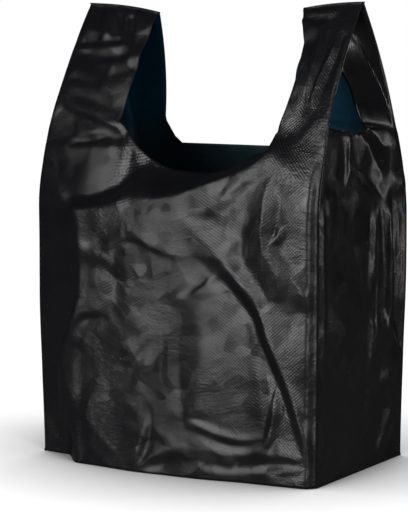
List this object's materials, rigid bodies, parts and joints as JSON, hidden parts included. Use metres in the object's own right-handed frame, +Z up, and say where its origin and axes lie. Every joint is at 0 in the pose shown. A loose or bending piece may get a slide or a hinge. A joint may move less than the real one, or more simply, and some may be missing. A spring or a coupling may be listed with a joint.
{
  "type": "plastic carrier bag",
  "caption": "Empty black plastic carrier bag standing open, with gusseted sides, a cut-out mouth and two loop handles welded at their tops.",
  "frame": {"origin": "on the underside, in the middle between the two front and two back corner folds", "axes": "+Z up; X along the front panel; the front panel faces -Y"},
  "size_m": [0.3232, 0.2178, 0.4406],
  "materials": {
    "black_film": "thin black polyethylene film, creased, half glossy, with a fine diagonal embossing"
  },
  "bodies": {
    "root": {"bag": "black_film"}
  },
  "joints": []
}
